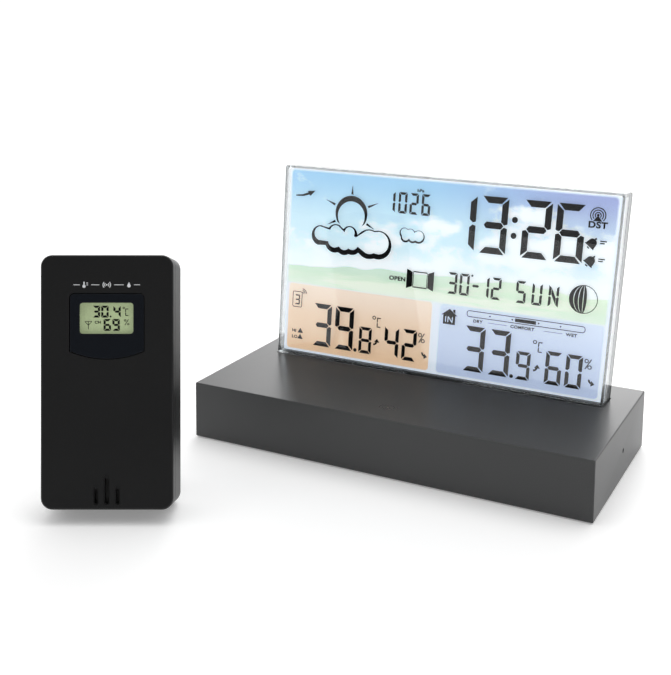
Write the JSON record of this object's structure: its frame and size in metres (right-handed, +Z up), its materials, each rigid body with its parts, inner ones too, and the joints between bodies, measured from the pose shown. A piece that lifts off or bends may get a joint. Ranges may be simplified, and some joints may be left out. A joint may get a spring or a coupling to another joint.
{
  "type": "home weather station",
  "caption": "Home weather station: clear leaning display block on a flat black base with rear keys, and a wireless outdoor sensor leaning on a fold-out leg.",
  "frame": {"origin": "centre of the console's base, on the table that the feet stand on", "axes": "+Z up, +X along the console to the right as its display is read, -Y the way the display faces"},
  "size_m": [0.2075, 0.1792, 0.1154],
  "materials": {
    "satin_black_plastic": "satin moulded black",
    "matte_black_plastic": "fine matt texture",
    "key_black": "satin",
    "contact_steel": "nickel plated",
    "circuit_board": "green solder mask",
    "socket_black": "matt",
    "ferrite": "ferrite rod with a varnished coil",
    "white_plastic": "white",
    "copper": "bare copper",
    "clear_plastic": "clear, polished",
    "display_glass": "clear glass with dark segments",
    "colour_film": "printed sky, hills and two tinted panels",
    "flex_ribbon": "amber film",
    "screw_steel": "plated",
    "sensor_black": "satin black, fine grain",
    "dark_lens": "dark gloss",
    "sensor_lcd_glass": "grey-green reflective display",
    "cell_can": "printed sleeve over a can",
    "rubber": "matt"
  },
  "bodies": {
    "console": {"base_housing": "satin_black_plastic", "bottom_cover": "matte_black_plastic", "console_contact_left": "contact_steel", "console_contact_right": "contact_steel", "main_board": "circuit_board", "key_board": "circuit_board", "supply_socket": "socket_black", "clock_antenna": "ferrite", "receiver_module": "circuit_board", "buzzer": "socket_black", "climate_sensor": "white_plastic", "touch_pad": "copper", "console_cell_1": "cell_can", "console_cell_2": "cell_can", "console_cell_3": "cell_can", "foot_1": "rubber", "foot_2": "rubber", "foot_3": "rubber", "foot_4": "rubber", "base_screw_1": "screw_steel", "base_screw_2": "screw_steel", "base_screw_3": "screw_steel", "base_screw_4": "screw_steel", "display_front_shell": "clear_plastic", "display_rear_shell": "clear_plastic", "display_lcd_panel": "display_glass", "colour_film": "colour_film", "light_guide": "white_plastic", "backlight_bar": "white_plastic", "reflector_sheet": "white_plastic", "display_ribbon": "flex_ribbon", "display_clamp_left": "screw_steel", "display_clamp_right": "screw_steel", "display_screw_left": "screw_steel", "display_screw_right": "screw_steel"},
    "rear_key_1": {"rear_key_1": "key_black"},
    "rear_key_2": {"rear_key_2": "key_black"},
    "rear_key_3": {"rear_key_3": "key_black"},
    "rear_key_4": {"rear_key_4": "key_black"},
    "rear_key_5": {"rear_key_5": "key_black"},
    "rear_key_6": {"rear_key_6": "key_black"},
    "console_battery_door": {"console_battery_door": "matte_black_plastic"},
    "sensor": {"sensor_front_shell": "sensor_black", "sensor_rear_shell": "sensor_black", "sensor_lens": "dark_lens", "sensor_lcd": "sensor_lcd_glass", "sensor_board": "circuit_board", "sensor_probe": "white_plastic", "sensor_antenna": "copper", "sensor_contact_top": "contact_steel", "sensor_contact_bottom": "contact_steel", "sensor_cell_1": "cell_can", "sensor_cell_2": "cell_can", "sensor_screw_left": "screw_steel", "sensor_screw_right": "screw_steel"},
    "sensor_battery_door": {"sensor_battery_door": "sensor_black"},
    "channel_switch": {"channel_switch": "matte_black_plastic"},
    "transmit_button": {"transmit_button": "rubber"},
    "stand_leg": {"stand_leg": "sensor_black"}
  },
  "joints": [
    {"name": "rear_key_1_press", "type": "slide", "parent": "console", "child": "rear_key_1", "axis": [0, -1, 0], "range_m": [0, 0.0008], "stiffness_N_per_m": 800},
    {"name": "rear_key_2_press", "type": "slide", "parent": "console", "child": "rear_key_2", "axis": [0, -1, 0], "range_m": [0, 0.0008], "stiffness_N_per_m": 800},
    {"name": "rear_key_3_press", "type": "slide", "parent": "console", "child": "rear_key_3", "axis": [0, -1, 0], "range_m": [0, 0.0008], "stiffness_N_per_m": 800},
    {"name": "rear_key_4_press", "type": "slide", "parent": "console", "child": "rear_key_4", "axis": [0, -1, 0], "range_m": [0, 0.0008], "stiffness_N_per_m": 800},
    {"name": "rear_key_5_press", "type": "slide", "parent": "console", "child": "rear_key_5", "axis": [0, -1, 0], "range_m": [0, 0.0008], "stiffness_N_per_m": 800},
    {"name": "rear_key_6_press", "type": "slide", "parent": "console", "child": "rear_key_6", "axis": [0, -1, 0], "range_m": [0, 0.0008], "stiffness_N_per_m": 800},
    {"name": "console_battery_door_pull", "type": "slide", "parent": "console", "child": "console_battery_door", "axis": [0, 0, -1], "range_m": [0, 0.012]},
    {"name": "sensor_lift", "type": "slide", "parent": "console", "child": "sensor", "axis": [0, 0, 1], "range_m": [0, 0.12]},
    {"name": "sensor_battery_door_pull", "type": "slide", "parent": "sensor", "child": "sensor_battery_door", "axis": [-0.4412, 0.8417, -0.3112], "range_m": [0, 0.012]},
    {"name": "channel_switch_slide", "type": "slide", "parent": "sensor", "child": "channel_switch", "axis": [0.8857, 0.4642, 0], "range_m": [-0.0025, 0.0025]},
    {"name": "transmit_button_press", "type": "slide", "parent": "sensor", "child": "transmit_button", "axis": [0.4412, -0.8417, 0.3112], "range_m": [0, 0.0006], "stiffness_N_per_m": 800},
    {"name": "stand_leg_fold", "type": "hinge", "parent": "sensor", "child": "stand_leg", "pos_m": [-0.08812, -0.09661, 0.04985], "axis": [0.8857, 0.4642, 0], "range_deg": [-24, 0]}
  ]
}
